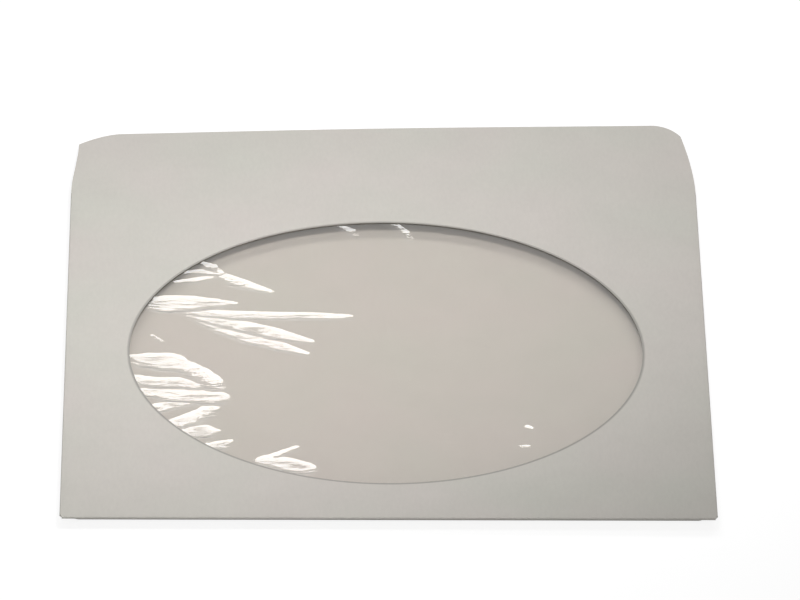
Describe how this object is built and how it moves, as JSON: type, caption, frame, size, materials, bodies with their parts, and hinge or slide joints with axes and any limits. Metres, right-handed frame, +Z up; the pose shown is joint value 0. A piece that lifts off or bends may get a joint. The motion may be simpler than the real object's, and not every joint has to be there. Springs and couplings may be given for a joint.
{
  "type": "paper sleeve",
  "caption": "Square white paper sleeve with a round clear-film window and an open tuck flap, lying flat with its pocket held slightly open.",
  "frame": {"origin": "centre of the overall length and width, on the surface the back lies on", "axes": "+Z up out of the window, +Y from the bottom crease towards the flap, +X to the right as the window is looked at with the flap at the top"},
  "size_m": [0.127, 0.1524, 0.0038],
  "materials": {
    "white_paper": "uncoated white wood-free paper, smooth and matt",
    "clear_film": "clear glossy polypropylene film",
    "dried_glue": "thin dried dispersion glue"
  },
  "bodies": {
    "root": {"sleeve_paper": "white_paper", "window_film": "clear_film", "window_glue": "dried_glue", "left_seam_glue": "dried_glue", "right_seam_glue": "dried_glue"}
  },
  "joints": []
}
